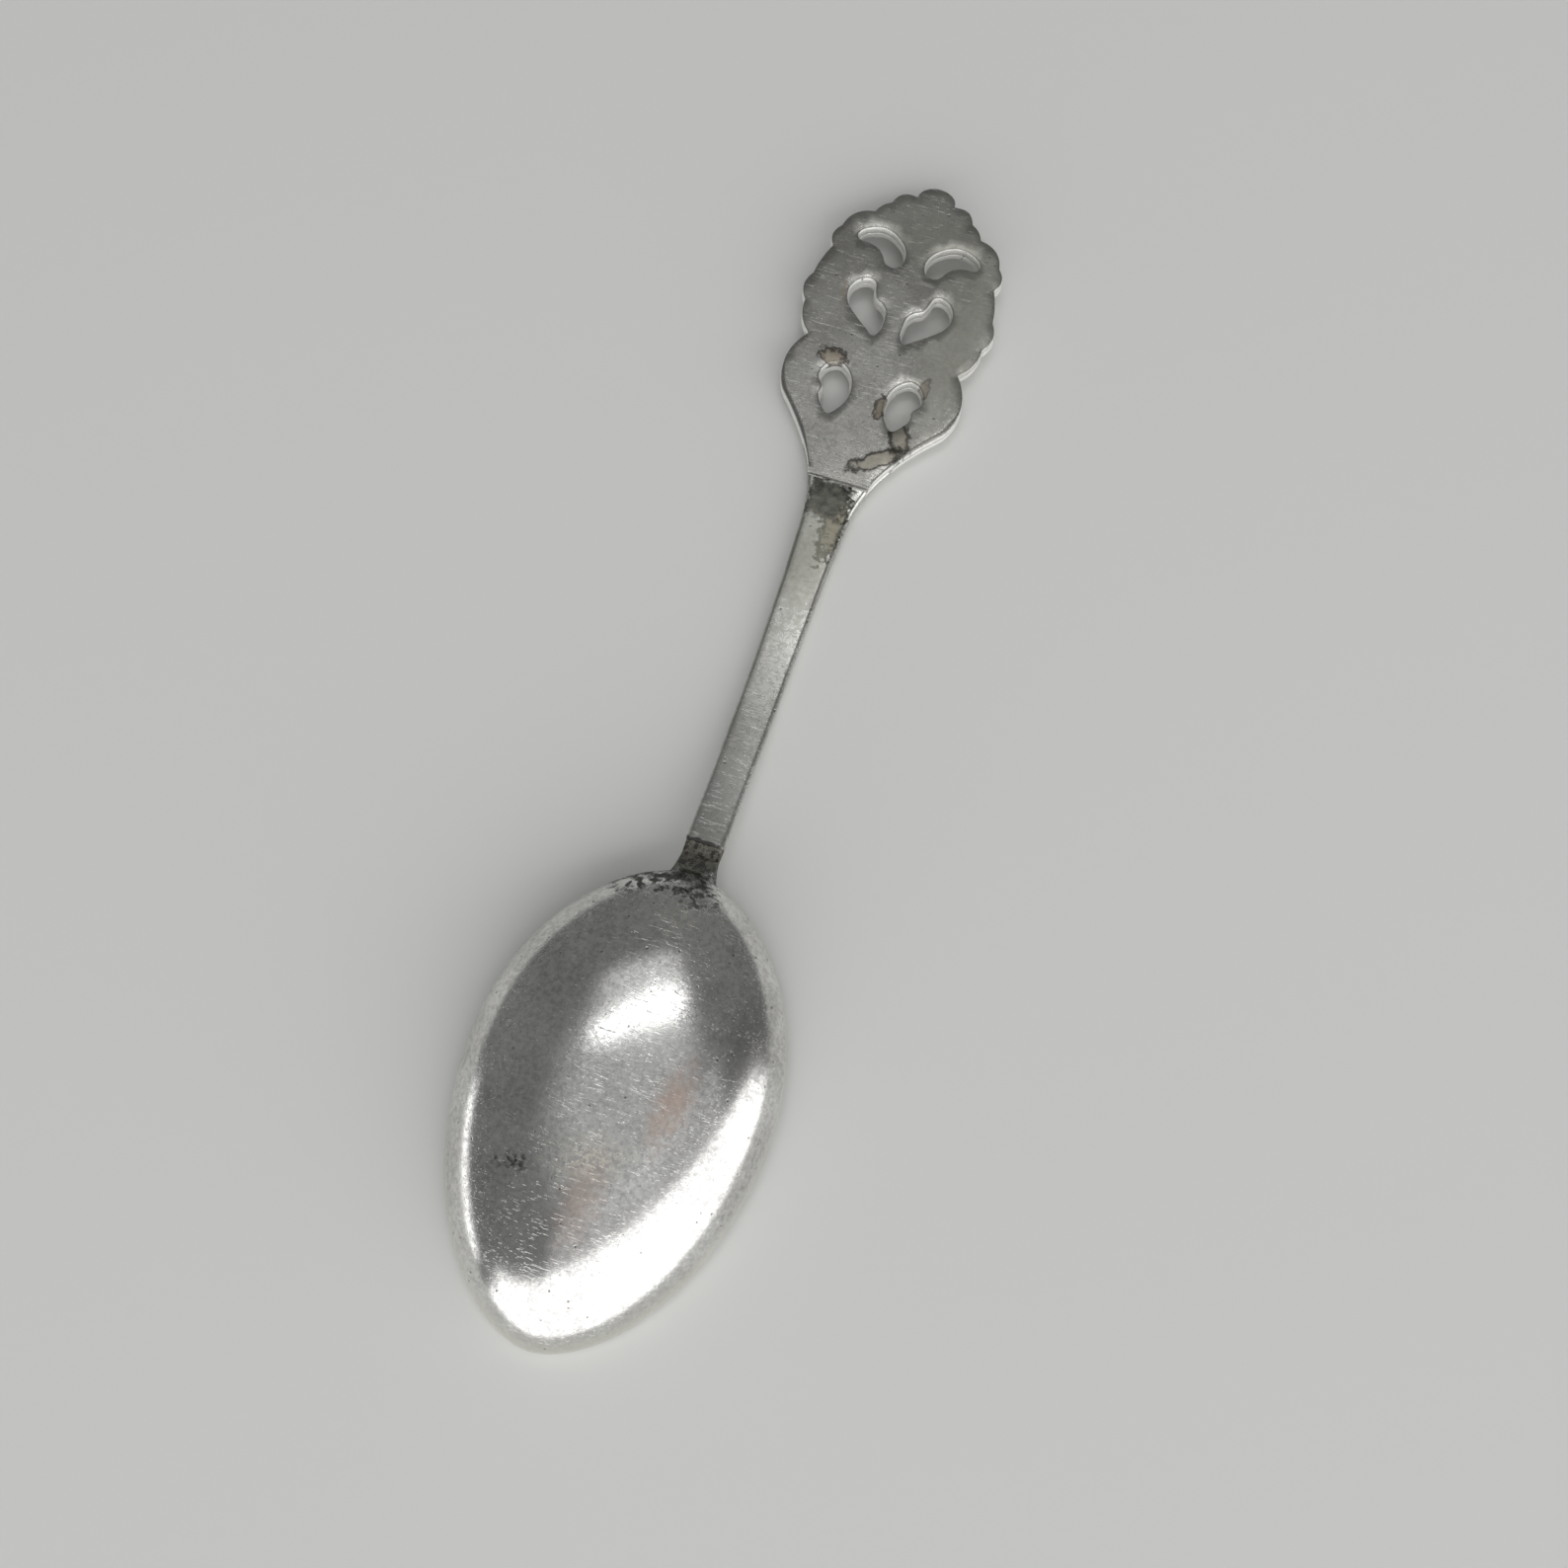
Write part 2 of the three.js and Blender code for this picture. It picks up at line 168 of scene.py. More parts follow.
def closed_curve(points, steps):
    """Smooth closed curve through points, centripetal Catmull-Rom, steps points on each stretch."""
    points = np.array(points, float)
    out = []
    for i in range(len(points)):
        p = points[np.arange(i - 1, i + 3) % len(points)]
        knots = np.concatenate(([0], np.cumsum(np.linalg.norm(np.diff(p, axis=0), axis=1) ** 0.5)))
        t = np.linspace(knots[1], knots[2], steps, endpoint=False)[:, None]

        def blend(a, b, ka, kb):
            return (kb - t) / (kb - ka) * a + (t - ka) / (kb - ka) * b

        a = [blend(p[k], p[k + 1], knots[k], knots[k + 1]) for k in range(3)]
        b = [blend(a[k], a[k + 1], knots[k], knots[k + 2]) for k in range(2)]
        out.append(blend(b[0], b[1], knots[1], knots[2]))
    return np.concatenate(out)


def ripple(points, size, reach):
    """A gentle repeatable unevenness, as hand finishing leaves: height for each point."""
    x, y, z = (points / size).T
    waves = np.sin(x * 2.1 + 1.3 * np.sin(y * 1.7)) + np.sin(y * 2.9 + 1.1 * np.sin(z * 2.3 + x))
    return reach * (waves + np.sin((x + y) * 1.3 + 2.0)) / 3


def placed(points):
    """Millimetres with stations along Y to metres in the frame."""
    points = np.array(points, float)
    points[:, 1] += TIP_Y
    return points * MM


def tilted(points):
    """Points of the bowl, drawn in its rim plane, tilted onto the surface."""
    turn = np.array(Matrix.Rotation(RIM_TILT, 3, "X"))
    return np.asarray(points) @ turn.T


def on_finial(points):
    """Points of the finial, drawn flat from its joint line, moved to where it is."""
    turn = np.array(Matrix.Rotation(FINIAL_TILT, 3, "X"))
    return np.asarray(points) @ turn.T + (0, FINIAL_START, float(back_height(FINIAL_START)))


def make_piece(name, points, faces, node, slot, material, sharp=35):
    mesh = bpy.data.meshes.new(name)
    mesh.from_pydata(placed(points).tolist(), [], [tuple(map(int, f)) for f in faces])
    mesh.validate()
    mesh.polygons.foreach_set("use_smooth", [True] * len(mesh.polygons))
    mesh.set_sharp_from_angle(angle=math.radians(sharp))
    piece = bpy.data.objects.new(name, mesh)
    bpy.context.collection.objects.link(piece)
    mesh.materials.append(material)
    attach(piece, "root")
    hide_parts(node)
    return piece


def sheet_faces(rows, columns, around=False, start=0):
    """Quads between rows of points; around joins the last column to the first."""
    faces = []
    for i in range(rows - 1):
        for j in range(columns if around else columns - 1):
            k = (j + 1) % columns
            a, b = start + i * columns, start + (i + 1) * columns
            faces.append((a + j, a + k, b + k, b + j))
    return faces


def sheet_border(rows, columns):
    """The outer points of rows of points, in order round them."""
    border = list(range(columns))
    border += [i * columns + columns - 1 for i in range(1, rows)]
    border += [(rows - 1) * columns + j for j in range(columns - 2, -1, -1)]
    border += [i * columns for i in range(rows - 2, 0, -1)]
    return border


def smooth_step(value, low, high):
    t = np.clip((value - low) / (high - low), 0, 1)
    return t * t * (3 - 2 * t)


# ---- bowl ----


def bowl_height(x, s):
    """Height over the rim plane of the bowl's outside, and below it past the rim."""
    smallest, largest, halvings = 1e-3, 4.0, 40
    past_rim_fall = 12
    wide = np.abs(x) / (BOWL_WIDTH / 2)
    reach = np.where(s > BOWL_WIDEST, BOWL_LENGTH - BOWL_WIDEST, BOWL_WIDEST)
    long = np.abs(s - BOWL_WIDEST) / reach
    low, high = np.full_like(wide, smallest), np.full_like(wide, largest)
    for _ in range(halvings):
        ring = (low + high) / 2
        outside = (wide / ring) ** (2 / EGG_POWER) + (long / ring) ** 2 > 1
        low, high = np.where(outside, ring, low), np.where(outside, high, ring)
    dome = np.sqrt(np.clip(1 - ring**WALL_POWER, 0, None))
    past_rim = np.clip(ring - 1, 0, None)
    return RIM_EDGE + (BOWL_DEPTH - RIM_EDGE) * dome - past_rim_fall * past_rim


def bowl_outline(inset, sides):
    """The egg shape round its widest point: distances across and along."""
    turn = 2 * np.pi * np.arange(sides) / sides
    across = np.sign(np.sin(turn)) * np.abs(np.sin(turn)) ** EGG_POWER
    reach = np.where(np.cos(turn) > 0, BOWL_LENGTH - BOWL_WIDEST, BOWL_WIDEST) - inset
    return (BOWL_WIDTH / 2 - inset) * across, np.cos(turn) * reach


def bowl_ring(across, along, height):
    return np.column_stack((across, BOWL_WIDEST + along, np.full(len(across), height)))


def bowl_skin(inset, depth, foot, rings, sides):
    """Rings from just off the crown down to the rim."""
    across, along = bowl_outline(inset, sides)
    rows = []
    for rise in np.linspace(0, np.pi / 2, rings + 1)[1:]:
        ring = math.sin(rise) ** (2 / WALL_POWER)
        rows.append(bowl_ring(across * ring, along * ring, foot + (depth - foot) * math.cos(rise)))
    return rows


def bowl_rim(sides):
    """Rings over the rounded rim, from the outside to the hollow."""
    outer_turns, inner_turns = (0.4, 0.8, 1.2, 1.57), (1.57, 1.1, 0.6)
    outer, inner = RIM_EDGE, RIM_INNER_EDGE
    edges = [(outer * (1 - math.cos(a)), outer * (1 - math.sin(a))) for a in outer_turns]
    edges += [(RIM_LAND - inner * math.cos(a), inner * (1 - math.sin(a))) for a in inner_turns]
    return [bowl_ring(*bowl_outline(inset, sides), height) for inset, height in edges]


def bowl_shell():
    """The whole bowl as one closed shell: outside, rim and hollow."""
    rings, sides = 56, 168
    wave_length, wave_height = 5.0, 0.02
    inner_depth = BOWL_DEPTH - BOWL_SHELL
    outer = bowl_skin(0, BOWL_DEPTH, RIM_EDGE, rings, sides)
    inner = bowl_skin(RIM_LAND, inner_depth, RIM_INNER_EDGE, rings, sides)[::-1]
    rows = outer + bowl_rim(sides) + inner
    crowns = [(0, BOWL_WIDEST, BOWL_DEPTH), (0, BOWL_WIDEST, inner_depth)]
    points = np.concatenate(rows + [crowns])
    faces = sheet_faces(len(rows), sides, around=True)
    crown, hollow = len(points) - 2, len(points) - 1
    last = (len(rows) - 1) * sides
    for j in range(sides):
        k = (j + 1) % sides
        faces.append((crown, k, j))
        faces.append((hollow, last + j, last + k))
    points[:, 2] += ripple(points, wave_length, wave_height) * np.clip(points[:, 2], 0, 1)
    return tilted(points), [f[::-1] for f in faces]


def neck_half_width(q, stem_half):
    """Half the tongue's width: the stem's, flaring as it runs up the bowl."""
    lead, length, power = 1.6, 2.2, 1.7
    gain, widest = 0.45, 5.5
    flare = np.clip((BOWL_LENGTH + lead - q) / length, 0, 3) ** power
    return np.minimum(stem_half + gain * flare, widest)


def bowl_back(x, q):
    """Height of the tilted bowl's outside at a station, a little sunk so that the tongue meets it."""
    sunk = 0.03
    s = q.copy()
    for _ in range(4):
        n = bowl_height(x, s)
        s = (q + n * math.sin(RIM_TILT)) / math.cos(RIM_TILT)
    return s * math.sin(RIM_TILT) + n * math.cos(RIM_TILT) - sunk


def neck_heights(x, q, stem_half):
    """Top and bottom of the tongue: filleted onto the bowl, then level under the stem's lap."""
    fillet, shoulder, fall = 1.1, 0.7, 0.9
    lap_lead = 1.2
    heel, over_bowl, thinnest = 39.8, 0.45, 0.3
    bowl_top = bowl_back(x, q)
    seat = back_height(q) - LAP - SOLDER_FILM
    neck_top = seat - fall * np.clip(np.abs(x) - stem_half * shoulder, 0, None) ** 2
    near = np.clip(fillet - np.abs(bowl_top - neck_top), 0, None)
    top = np.maximum(bowl_top, neck_top) + near**2 / (4 * fillet)
    lap = np.clip(q - STEM_START + lap_lead, 0, 1)
    top = top * (1 - lap) + np.minimum(top, seat) * lap
    under_stem = np.minimum(back_height(q) - STEM_THICKNESS, top - thinnest)
    return top, np.where(q < heel, top - over_bowl, under_stem)


def bowl_neck():
    """The heel's tongue, drawn up onto the back of the bowl in a fillet."""
    rows, columns = 90, 41
    start, end = 35.5, STEM_START + LAP_LENGTH - GAP
    side = np.tile(np.linspace(-1, 1, columns), rows)
    q = np.repeat(np.linspace(start, end, rows), columns)
    stem_half = stem_half_width(q)
    x = side * neck_half_width(q, stem_half)
    top, bottom = neck_heights(x, q, stem_half)
    edge = np.abs(side) ** 12
    upper = np.column_stack((x, q, top - 0.08 * edge))
    lower = np.column_stack((x, q, bottom + 0.05 * edge))
    count = rows * columns
    sheet = sheet_faces(rows, columns)
    faces = sheet + [tuple(count + v for v in f[::-1]) for f in sheet]
    border = sheet_border(rows, columns)
    for a, b in zip(border, border[1:] + border[:1]):
        faces.append((b, a, count + a, count + b))
    return np.concatenate((upper, lower)), faces


def fuse(piece, points, faces, sharp=50):
    """Joins a second closed shape to a piece by a boolean, and drops the helper."""
    mesh = bpy.data.meshes.new("helper")
    mesh.from_pydata(placed(points).tolist(), [], faces)
    helper = bpy.data.objects.new("helper", mesh)
    bpy.context.collection.objects.link(helper)
    union = piece.modifiers.new("join", "BOOLEAN")
    union.operation = "UNION"
    union.solver = "EXACT"
    union.object = helper
    joined = bpy.data.meshes.new_from_object(piece.evaluated_get(bpy.context.evaluated_depsgraph_get()))
    piece.modifiers.clear()
    piece.data = joined
    joined.polygons.foreach_set("use_smooth", [True] * len(joined.polygons))
    joined.set_sharp_from_angle(angle=math.radians(sharp))
    bpy.data.objects.remove(helper)


# ---- stem and solder ----


def rounded_bar(stations, half, top, bottom, radius, crown=0.0):
    """Rings of a rounded flat bar, one ring a station, with both ends closed.

    crown is how far the top falls from the middle to its sides.
    """
    corner = np.linspace(0, np.pi / 2, 6)
    flat = np.linspace(-1, 1, 9)[1:-1]
    thinnest = 2.2
    rows = []
    for q, w, t, b in zip(stations, half, top, bottom):
        r = min(radius, (t - b) / thinnest)
        arcs = [
            np.column_stack((w - r + r * np.cos(corner), t - r + r * np.sin(corner))),
            np.column_stack((-flat * (w - r), np.full(len(flat), t))),
            np.column_stack((-(w - r) - r * np.sin(corner), t - r + r * np.cos(corner))),
            np.column_stack((-(w - r) - r * np.cos(corner), b + r - r * np.sin(corner))),
            np.column_stack((flat * (w - r), np.full(len(flat), b))),
            np.column_stack((w - r + r * np.sin(corner), b + r - r * np.cos(corner))),
        ]
        ring = np.concatenate(arcs)
        above = ring[:, 1] > t - 0.5 * r
        ring[above, 1] -= crown * (ring[above, 0] / w) ** 2
        rows.append(np.column_stack((ring[:, 0], np.full(len(ring), q), ring[:, 1])))
    sides = len(rows[0])
    faces = sheet_faces(len(rows), sides, around=True)
    faces.append(tuple(range(sides))[::-1])
    faces.append(tuple((len(rows) - 1) * sides + j for j in range(sides)))
    return np.concatenate(rows), [f[::-1] for f in faces]


def eased_ends(start, end, steps, ease=0.1):
    """Stations with a few close together at both ends, where the edge is rounded."""
    return np.concatenate((
        start + ease * np.array([0, 0.3, 0.65]),
        np.linspace(start + ease, end - ease, steps),
        end - ease * np.array([0.65, 0.3, 0]),
    ))


def end_rounding(stations, start, ease=0.1):
    """How far the section shrinks at the start, to round the end's edge."""
    t = np.clip((stations - start) / ease, 0, 1)
    return ease * (1 - np.sqrt(1 - (1 - t) ** 2))


def stem_shape():
    """The stem with its laps at both ends: cut away below over the tongue, and above under the finial."""
    edge_radius, crown = 0.36, 0.06
    lap_end = STEM_START + LAP_LENGTH
    lap = np.append(eased_ends(STEM_START, lap_end, 20)[:-3], lap_end)
    body = np.linspace(lap_end + GAP, FINIAL_START, 130)
    tongue = np.linspace(FINIAL_START + GAP, FINIAL_START + FINIAL_LAP_LENGTH, 12)
    stations = np.concatenate((lap, body, tongue))
    shrink = end_rounding(stations, STEM_START)
    half = stem_half_width(stations) - shrink
    top = back_height(stations) - shrink
    bottom = back_height(stations) - STEM_THICKNESS
    bottom[:len(lap)] = back_height(lap) - LAP
    top[-len(tongue):] -= LAYER + SOLDER_FILM
    return rounded_bar(stations, half, top, bottom, edge_radius, crown)


def bowl_solder_shape():
    """Film in the lap joint and a lumpy bead against the stem's square end."""
    bead_length, bead_foot, bead_rise, bead_power = 1.1, 0.06, 0.5, 2.2
    inset, sunk, edge_radius = 0.04, 0.05, 0.12
    lump_length, lump_height = 0.35, 0.06
    start, stem_end = STEM_START - bead_length, STEM_START - GAP
    bead = np.linspace(start, stem_end, 16)
    film = np.linspace(stem_end + GAP, STEM_START + LAP_LENGTH - 2 * GAP, 20)
    stations = np.concatenate((bead, film))
    floor = back_height(stations) - LAP - SOLDER_FILM + GAP
    t = np.clip((stations - start) / (stem_end - start), 0, 1)
    top = floor + bead_foot + bead_rise * t**bead_power
    top[len(bead):] = floor[len(bead):] + SOLDER_FILM - 2 * GAP
    half = stem_half_width(stations) - inset
    points, faces = rounded_bar(stations, half, top, floor - sunk, edge_radius)
    before_stem = points[:, 1] < stem_end - 0.05
    exposed = before_stem & (points[:, 2] > back_height(points[:, 1]) - LAP)
    points[:, 2] += np.where(exposed, ripple(points, lump_length, lump_height), 0)
    return points, faces


def finial_solder_shape():
    """A fine raised seam across the back at the joint line, and the film under the back plate."""
    below_back, inset, edge_radius = 0.01, 0.05, 0.04
    seam_end = FINIAL_START + SOLDER_FILM
    seam = np.linspace(FINIAL_START + GAP, seam_end, 4)
    film = np.linspace(seam_end + GAP, FINIAL_START + FINIAL_LAP_LENGTH, 10)
    stations = np.concatenate((seam, film))
    floor = back_height(stations) - LAYER - SOLDER_FILM + GAP
    top = back_height(stations) - below_back
    top[len(seam):] = floor[len(seam):] + SOLDER_FILM - 2 * GAP
    return rounded_bar(stations, stem_half_width(stations) - inset, top, floor, edge_radius)


# ---- finial ----


def finial_outline(start):
    """Right half from the joint to the tip, then its mirror image: an anticlockwise loop (x, along)."""
    path = [finial_flare(), bezier(FLARE[-1], *SHOULDER, steps=36)[1:]]
    corner = np.array(SHOULDER[-1], float)
    for end, bulge in LOBES:
        chord = np.array(end) - corner
        outward = np.array((-chord[1], chord[0])) / np.linalg.norm(chord)
        control = (corner + end) / 2 + outward * 2 * bulge
        path.append(bezier(corner, control, end, steps=18)[1:])
        corner = np.array(end)
    turn = np.linspace(0, np.pi / 2, 15)[1:]
    rise = (TIP - corner[0]) * np.sin(turn)
    path.append(np.column_stack((corner[0] + rise, corner[1] * np.cos(turn))))
    right = np.concatenate(path)
    first = (start, np.interp(start, *finial_flare().T))
    closest = 0.1
    right = np.concatenate(([first], right[right[:, 0] > start + closest]))[:, ::-1]
    left = right[:-1][::-1] * (-1, 1)
    return np.concatenate((right, left))


def finial_holes():
    """Clockwise loops of the six holes."""
    loops = []
    for outline in HOLES:
        right = closed_curve(outline, 6)[:, ::-1]
        if loop_area(right) > 0:
            right = right[::-1]
        loops += [right, (right * (-1, 1))[::-1]]
    return loops


def loop_area(loop):
    """Area inside a closed loop, above 0 when it runs anticlockwise."""
    x, y = loop.T
    return 0.5 * np.sum(x * np.roll(y, -1) - y * np.roll(x, -1))


def inset_loop(loop, inset):
    """The loop moved into the material, which is on its left."""
    ahead = np.roll(loop, -1, axis=0) - np.roll(loop, 1, axis=0)
    normal = np.column_stack((-ahead[:, 1], ahead[:, 0]))
    return loop + inset * normal / np.linalg.norm(normal, axis=1)[:, None]


def inside(points, loops):
    """True for points in the outline and out of every hole, by the even-odd rule."""
    crossed = np.zeros(len(points), bool)
    x, y = points.T
    for loop in loops:
        for (ax, ay), (bx, by) in zip(loop, np.roll(loop, -1, axis=0)):
            if ay == by:
                continue
            crossed ^= ((ay > y) != (by > y)) & (x < (bx - ax) * (y - ay) / (by - ay) + ax)
    return crossed


def distance_to(points, loop):
    """Distance from each point to a closed loop's nearest edge."""
    a, b = loop, np.roll(loop, -1, axis=0)
    best = np.full(len(points), 1e9)
    for p, q in zip(a, b):
        edge = q - p
        t = np.clip(((points - p) @ edge) / max(edge @ edge, 1e-12), 0, 1)
        best = np.minimum(best, np.linalg.norm(points - p - t[:, None] * edge, axis=1))
    return best


def unfolded(ring, loop, offset):
    """Straightens the small folds that moving a loop makes in tight corners."""
    fair_share, slack = 0.97, 1e-6
    fair = distance_to(ring, loop) > fair_share * np.abs(offset).ravel() - slack
    spots = np.flatnonzero(fair)
    index = np.arange(len(ring))
    return np.column_stack([np.interp(index, spots, ring[spots, k], period=len(ring)) for k in (0, 1)])


def edge_scale(loop, start):
    """How wide the rounding is along the outline: hardly any at the joint, widest on the flare."""
    flare_gain, narrowest = 1.8, 0.05
    along = loop[:, 1]
    flare = 1 + flare_gain * smooth_step(along, 2.0, 5.0) * (1 - smooth_step(along, 8.5, 11.0))
    opening = smooth_step(along, start + 0.05, start + 1.5)
    return flare * (narrowest + (1 - narrowest) * opening)


def edge_profile(top, bottom, top_edge, bottom_edge):
    """(inset, height) down a rounded edge. Each edge's rounding is given as (width, height)."""
    turns = np.linspace(0, np.pi / 2, 6)
    (top_width, top_fall), (bottom_width, bottom_rise) = top_edge, bottom_edge
    upper = [(top_width * (1 - math.sin(a)), top - top_fall * (1 - math.cos(a))) for a in turns]
    lower = [(bottom_width * (1 - math.cos(a)), bottom + bottom_rise * (1 - math.sin(a))) for a in turns]
    return upper + lower


def plate_walls(loops, start, profile):
    """Walls down the outline and the holes: points, faces, and each loop's rings as (first point, ring)."""
    points, faces, stacks = [], [], []
    for number, loop in enumerate(loops):
        first = len(points)
        scale = 1 if number else edge_scale(loop, start)[:, None]
        stack = []
        for inset, height in profile:
            narrowing = (HOLE_NARROWING + HOLE_TAPER * -height) if number else 0
            offset = inset * scale - narrowing
            ring = unfolded(inset_loop(loop, offset), loop, offset)
            stack.append((len(points), ring))
            points += [(x, y, height) for x, y in ring]
        stacks.append(stack)
        faces += [f[::-1] for f in sheet_faces(len(profile), len(loop), around=True, start=first)]
    return points, faces, stacks


def face_grid(rings, spacing):
    """Staggered points over a flat face, clear of its edges."""
    stagger, clearance = 0.25, 0.45
    boundary = np.concatenate(rings)
    low, high = boundary.min(axis=0), boundary.max(axis=0)
    xs, ys = (np.arange(a + spacing / 2, b, spacing) for a, b in zip(low, high))
    grid = np.array([(x + spacing * stagger * (-1) ** j, y) for j, y in enumerate(ys) for x in xs])
    grid = grid[inside(grid, rings)]
    clear = np.min([distance_to(grid, ring) for ring in rings], axis=0) > spacing * clearance
    return grid[clear]


def fill_face(points, faces, ends, height, spacing, front, relief=None):
    """Fills a flat face between the rings that end at it. relief(points) raises it."""
    merge_distance = 1e-7
    index = [first + j for first, ring in ends for j in range(len(ring))]
    rings = [ring for _, ring in ends]
    edges = []
    for ring in rings:
        first, count = len(edges), len(ring)
        edges += [(first + j, first + (j + 1) % count) for j in range(count)]
    seeds = [Vector(p) for p in np.concatenate((*rings, face_grid(rings, spacing))).tolist()]
    found, _, triangles, sources, _, _ = delaunay_2d_cdt(seeds, edges, [], 0, merge_distance)
    places = np.array([v[:] for v in found])
    kept = inside(np.array([places[list(t)].mean(axis=0) for t in triangles]), rings)
    heights = height - (relief(places) if relief else np.zeros(len(places)))
    seats = []
    for place, z, source in zip(places, heights, sources):
        if source and source[0] < len(index):
            seat = index[source[0]]
            points[seat] = (*points[seat][:2], z)
        else:
            seat = len(points)
            points.append((*place, z))
        seats.append(seat)
    for triangle, keep in zip(triangles, kept):
        if keep:
            face = tuple(seats[v] for v in triangle)
            faces.append(face[::-1] if front else face)


def plate_shape(loops, start, top, bottom, top_edge, bottom_edge, spacing=0.8, relief=None):
    """A flat pierced plate with rounded edges, its relief on the front, which faces down."""
    profile = edge_profile(top, bottom, top_edge, bottom_edge)
    points, faces, stacks = plate_walls(loops, start, profile)
    fill_face(points, faces, [s[0] for s in stacks], profile[0][1], spacing, False)
    fill_face(points, faces, [s[-1] for s in stacks], profile[-1][1], spacing, True, relief)
    return np.array(points), faces


def ridge(distance, middle, width):
    return np.exp(-(((distance - middle) / width) ** 2))


def finial_relief(points, loops):
    """Height of the struck ornament: border, collars round the holes, spine, fan and fluted lobes."""
    border, outer_collar, flute, crest = 0.75, 0.45, 0.5, 0.9
    spine_half, spine_taper = 0.75, 0.015
    fan_root, fan_length, fan_leaves, fan_spread = 27.0, 5.6, 7, 1.25
    flute_middle, flutes_round = 19.0, 22
    x, y = np.abs(points[:, 0]), points[:, 1]
    edge = distance_to(points, loops[0])
    inner = smooth_step(edge, 0.5, 1.3)
    height = border * ridge(edge, 0.65, 0.3)
    for hole in loops[1:]:
        gap = distance_to(points, hole)
        height = np.maximum(height, ridge(gap, 0.55, 0.3))
        height = np.maximum(height, outer_collar * ridge(gap, 1.3, 0.22))
    spine = smooth_step(spine_half - spine_taper * y - x, -0.15, 0.25) * (y > 4) * (y < 27.5)
    height = np.maximum(height, inner * crest * spine)
    fan_angle = np.arctan2(x, y - fan_root)
    reach = np.hypot(x, y - fan_root)
    leaves = np.cos(fan_angle * fan_leaves) ** 2 * smooth_step(reach, 0.4, 1.2)
    leaves = leaves * smooth_step(fan_length - reach, 0, 1)
    height = np.maximum(height, inner * crest * leaves * (fan_angle < fan_spread))
    flutes = 0.5 + 0.5 * np.sin(np.arctan2(x, flute_middle - y) * flutes_round)
    field = smooth_step(edge, 0.9, 1.4) * smooth_step(2.9 - edge, 0, 0.6) * (y > 13)
    height = np.maximum(height, flute * flutes * field)
    return RELIEF * height * smooth_step(edge, 0.12, 0.4)


# ---- material helpers ----


def add(tree, kind, inputs=(), **settings):
    """Adds a node. inputs maps a socket's name or number to a value or to a socket to link from."""
    node = tree.nodes.new("ShaderNode" + kind)
    for key, value in settings.items():
        setattr(node, key, value)
    for key, value in dict(inputs).items():
        socket = node.inputs[key]
        if isinstance(value, bpy.types.NodeSocket):
            tree.links.new(value, socket)
        else:
            socket.default_value = value
    return node


def math_node(tree, operation, a, b=0.0, clamp=False):
    return add(tree, "Math", {0: a, 1: b}, operation=operation, use_clamp=clamp).outputs[0]


def times(tree, a, b, clamp=False):
    return math_node(tree, "MULTIPLY", a, b, clamp)


def plus(tree, a, b):
    return math_node(tree, "ADD", a, b)


def ramp(tree, value, low, high):
    """0 below low and 1 above high, smooth between them; low may be the larger."""
    inputs = {"Value": value, "From Min": min(low, high), "From Max": max(low, high)}
    out = add(tree, "MapRange", inputs, interpolation_type="SMOOTHSTEP").outputs[0]
    return math_node(tree, "SUBTRACT", 1.0, out) if low > high else out


def mix_colour(tree, factor, a, b):
    node = add(tree, "Mix", data_type="RGBA")
    for socket, value in ((node.inputs[0], factor), (node.inputs[6], a), (node.inputs[7], b)):
        if isinstance(value, bpy.types.NodeSocket):
            tree.links.new(value, socket)
        else:
            socket.default_value = value if isinstance(value, float) else (*value, 1)
    return node.outputs[2]


def mix_value(tree, factor, a, b):
    return add(tree, "Mix", {0: factor, 2: a, 3: b}, data_type="FLOAT").outputs[0]


def height_part(tree, vector):
    return add(tree, "SeparateXYZ", {0: vector}).outputs["Z"]


def facing_up(tree):
    """1 on a face that looks straight up, 0 on an upright one, -1 on one that looks down."""
    return height_part(tree, add(tree, "TexCoord").outputs["Normal"])


def millimetres(tree):
    """Object coordinates in millimetres, with Y as the station along the spoon."""
    place = add(tree, "TexCoord").outputs["Object"]
    scaled = add(tree, "VectorMath", {0: place, "Scale": 1 / MM}, operation="SCALE").outputs[0]
    return add(tree, "VectorMath", {0: scaled, 1: (0, -TIP_Y, 0)}, operation="ADD").outputs[0]


def noise(tree, place, scale, detail=4.0, rough=0.55, shift=0.0):
    if shift:
        offset = (shift, shift * 1.7, -shift)
        place = add(tree, "VectorMath", {0: place, 1: offset}, operation="ADD").outputs[0]
    inputs = {"Vector": place, "Scale": scale, "Detail": detail, "Roughness": rough}
    return add(tree, "TexNoise", inputs).outputs["Fac"]


def turned(tree, vector, angle, scale=(1, 1, 1)):
    inputs = {"Vector": vector, "Rotation": (0, 0, math.radians(angle)), "Scale": scale}
    return add(tree, "Mapping", inputs, vector_type="POINT").outputs[0]


def scratches(tree, place, angle, fine, length, low, high, shift):
    """Thin streaks in one direction, broken up along their length."""
    stretched = turned(tree, place, angle, (1 / length, fine, fine))
    streak = noise(tree, stretched, 1.0, 2.0, 0.5, shift)
    broken = ramp(tree, noise(tree, place, 0.55, 3.0, 0.6, shift + 3), 0.42, 0.6)
    return times(tree, ramp(tree, streak, low, high), broken)


